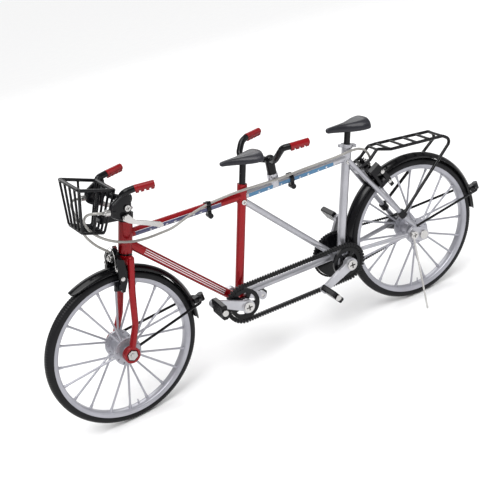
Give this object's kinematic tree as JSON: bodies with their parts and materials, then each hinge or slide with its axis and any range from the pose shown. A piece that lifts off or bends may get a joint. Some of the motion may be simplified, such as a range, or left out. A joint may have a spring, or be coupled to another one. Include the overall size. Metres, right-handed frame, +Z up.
{
  "type": "tandem bicycle",
  "caption": "Small display model of a two-seat tandem bicycle with a front basket, rear rack, mudguards, cable brakes, chain drive and side kickstand, leaning on its stand.",
  "frame": {"origin": "bottom centre of the model's box, on the floor it stands on", "axes": "+X forward along the bicycle, +Y to the rider's left (kickstand side), +Z up; the model leans 4 degrees to +Y onto its stand"},
  "size_m": [0.2282, 0.0436, 0.1137],
  "materials": {
    "red_paint": "gloss metallic",
    "silver_paint": "metallic satin",
    "nickel": "bright",
    "crank_grey": "satin",
    "black_plastic": "gloss",
    "black_rubber": "matt",
    "tyre": "matt",
    "wheel_plastic": "metallic moulded",
    "red_satin": "satin",
    "saddle_plastic": "satin",
    "cable": "satin"
  },
  "bodies": {
    "frame": {"front_frame": "red_paint", "rear_frame": "silver_paint", "rear_seat_collar": "silver_paint", "rear_axle": "nickel", "frame_screws": "nickel", "timing_chain": "black_rubber", "drive_chain": "black_rubber", "rear_mudguard": "black_plastic", "rear_mudguard_stays": "black_plastic", "rack": "black_plastic", "cable_clips": "black_plastic", "rear_brake_cable": "cable", "rear_brake_cable_loop": "cable"},
    "steering": {"fork": "red_paint", "headset_rings": "black_plastic", "front_handlebar": "black_plastic", "front_grips": "red_satin", "brake_lever_housings": "black_plastic", "lever_fittings": "nickel", "basket": "black_plastic", "basket_arm": "black_plastic", "front_mudguard": "black_plastic", "front_mudguard_stays": "black_plastic", "front_axle": "nickel", "front_brake_cable": "cable"},
    "front_wheel": {"front_rim": "wheel_plastic", "front_tyre": "tyre", "front_hub": "wheel_plastic", "front_spokes": "wheel_plastic"},
    "rear_wheel": {"rear_rim": "wheel_plastic", "rear_tyre": "tyre", "rear_hub": "wheel_plastic", "rear_spokes": "wheel_plastic"},
    "front_crankset": {"front_cranks": "crank_grey", "front_crank_axle": "nickel", "front_pedal_pins": "nickel", "front_timing_ring": "black_plastic"},
    "rear_crankset": {"rear_cranks": "crank_grey", "rear_crank_axle": "nickel", "rear_pedal_pins": "nickel", "rear_timing_ring": "black_plastic", "drive_ring": "black_plastic"},
    "sprocket": {"rear_sprocket": "black_plastic"},
    "pedal_front_left": {"front_left_pedal": "black_plastic"},
    "pedal_front_right": {"front_right_pedal": "black_plastic"},
    "pedal_rear_left": {"rear_left_pedal": "black_plastic"},
    "pedal_rear_right": {"rear_right_pedal": "black_plastic"},
    "lever_left": {"left_brake_lever": "nickel"},
    "lever_right": {"right_brake_lever": "nickel"},
    "front_arm_left": {"front_brake_arm_left": "black_plastic"},
    "front_arm_right": {"front_brake_arm_right": "black_plastic"},
    "rear_arm_left": {"rear_brake_arm_left": "black_plastic"},
    "rear_arm_right": {"rear_brake_arm_right": "black_plastic"},
    "stand": {"kickstand": "nickel"},
    "saddle_front": {"front_saddle": "saddle_plastic", "front_seatpost": "black_plastic"},
    "saddle_rear": {"rear_saddle": "saddle_plastic", "rear_seatpost": "black_plastic"},
    "rear_bars": {"rear_handlebar": "black_plastic", "rear_grips": "red_satin"}
  },
  "joints": [
    {"name": "steering_turn", "type": "hinge", "parent": "frame", "child": "steering", "pos_m": [0.0785, -0.00001, 0.0348], "axis": [-0.2672, 0.0672, 0.9613], "range_deg": [-14, 33], "deforming": ["rear_brake_cable_loop"]},
    {"name": "front_wheel_spin", "type": "hinge", "parent": "steering", "child": "front_wheel", "pos_m": [0.07917, 0.00008, 0.03498], "axis": [-0.1091, 0.989, -0.0995], "continuous": true},
    {"name": "rear_wheel_spin", "type": "hinge", "parent": "frame", "child": "rear_wheel", "pos_m": [-0.07183, 0, 0.03498], "axis": [0, 0.9976, -0.0698], "continuous": true},
    {"name": "rear_crank_spin", "type": "hinge", "parent": "frame", "child": "rear_crankset", "pos_m": [-0.03133, -0.00003, 0.03458], "axis": [0, 0.9976, -0.0698], "continuous": true},
    {"name": "front_crank_spin", "type": "hinge", "parent": "frame", "child": "front_crankset", "pos_m": [0.02267, 0, 0.03498], "axis": [0, 0.9976, -0.0698], "continuous": true},
    {"name": "sprocket_spin", "type": "hinge", "parent": "frame", "child": "sprocket", "pos_m": [-0.07183, 0, 0.03498], "axis": [0, 0.9976, -0.0698], "continuous": true},
    {"name": "front_left_pedal_spin", "type": "hinge", "parent": "front_crankset", "child": "pedal_front_left", "pos_m": [0.03768, 0.00053, 0.04251], "axis": [0, 0.9976, -0.0698], "continuous": true},
    {"name": "front_right_pedal_spin", "type": "hinge", "parent": "front_crankset", "child": "pedal_front_right", "pos_m": [0.00766, -0.00053, 0.02745], "axis": [0, 0.9976, -0.0698], "continuous": true},
    {"name": "rear_left_pedal_spin", "type": "hinge", "parent": "rear_crankset", "child": "pedal_rear_left", "pos_m": [-0.01607, -0.00052, 0.02758], "axis": [0, 0.9976, -0.0698], "continuous": true},
    {"name": "rear_right_pedal_spin", "type": "hinge", "parent": "rear_crankset", "child": "pedal_rear_right", "pos_m": [-0.03843, 0.00103, 0.04977], "axis": [0, 0.9976, -0.0698], "continuous": true},
    {"name": "left_lever_pull", "type": "hinge", "parent": "steering", "child": "lever_left", "pos_m": [0.0668, 0.01895, 0.09487], "axis": [-0.1091, 0.989, -0.0995], "range_deg": [0, 25], "stiffness_Nm_per_rad": 0.002, "springref_deg": -8.59},
    {"name": "right_lever_pull", "type": "hinge", "parent": "steering", "child": "lever_right", "pos_m": [0.06986, -0.00885, 0.09767], "axis": [-0.1091, 0.989, -0.0995], "range_deg": [0, 25], "stiffness_Nm_per_rad": 0.002, "springref_deg": -8.59},
    {"name": "front_arm_left_close", "type": "hinge", "parent": "steering", "child": "front_arm_left", "pos_m": [0.07079, 0.00319, 0.07508], "axis": [-0.9574, -0.1314, -0.257], "range_deg": [0, 2.5]},
    {"name": "front_arm_right_close", "type": "hinge", "parent": "steering", "child": "front_arm_right", "pos_m": [0.07079, 0.00319, 0.07508], "axis": [0.9574, 0.1314, 0.257], "range_deg": [0, 2.5]},
    {"name": "rear_arm_left_close", "type": "hinge", "parent": "frame", "child": "rear_arm_left", "pos_m": [-0.04953, 0.00269, 0.07351], "axis": [-0.866, 0.0349, 0.4988], "range_deg": [0, 2.5]},
    {"name": "rear_arm_right_close", "type": "hinge", "parent": "frame", "child": "rear_arm_right", "pos_m": [-0.04953, 0.00269, 0.07351], "axis": [0.866, -0.0349, -0.4988], "range_deg": [0, 2.5]},
    {"name": "kickstand_fold", "type": "hinge", "parent": "frame", "child": "stand", "pos_m": [-0.06583, 0.01113, 0.03651], "axis": [0, 0.9976, -0.0698], "range_deg": [0, 85]},
    {"name": "front_saddle_slide", "type": "slide", "parent": "frame", "child": "saddle_front", "axis": [-0.2456, 0.0676, 0.967], "range_m": [0, 0.006]},
    {"name": "rear_saddle_slide", "type": "slide", "parent": "frame", "child": "saddle_rear", "axis": [-0.2372, 0.0678, 0.9691], "range_m": [-0.0035, 0.006]},
    {"name": "rear_bars_turn", "type": "hinge", "parent": "frame", "child": "rear_bars", "pos_m": [-0.00523, 0.00356, 0.08586], "axis": [0, 0.0698, 0.9976], "range_deg": [-14, 2]}
  ],
  "couplings": [
    {"joint": "front_crank_spin", "follows": "rear_crank_spin", "ratio": 1},
    {"joint": "sprocket_spin", "follows": "rear_crank_spin", "ratio": 1.8727},
    {"joint": "front_arm_left_close", "follows": "right_lever_pull", "ratio": 0.1},
    {"joint": "front_arm_right_close", "follows": "right_lever_pull", "ratio": 0.1},
    {"joint": "rear_arm_left_close", "follows": "left_lever_pull", "ratio": 0.1},
    {"joint": "rear_arm_right_close", "follows": "left_lever_pull", "ratio": 0.1}
  ]
}
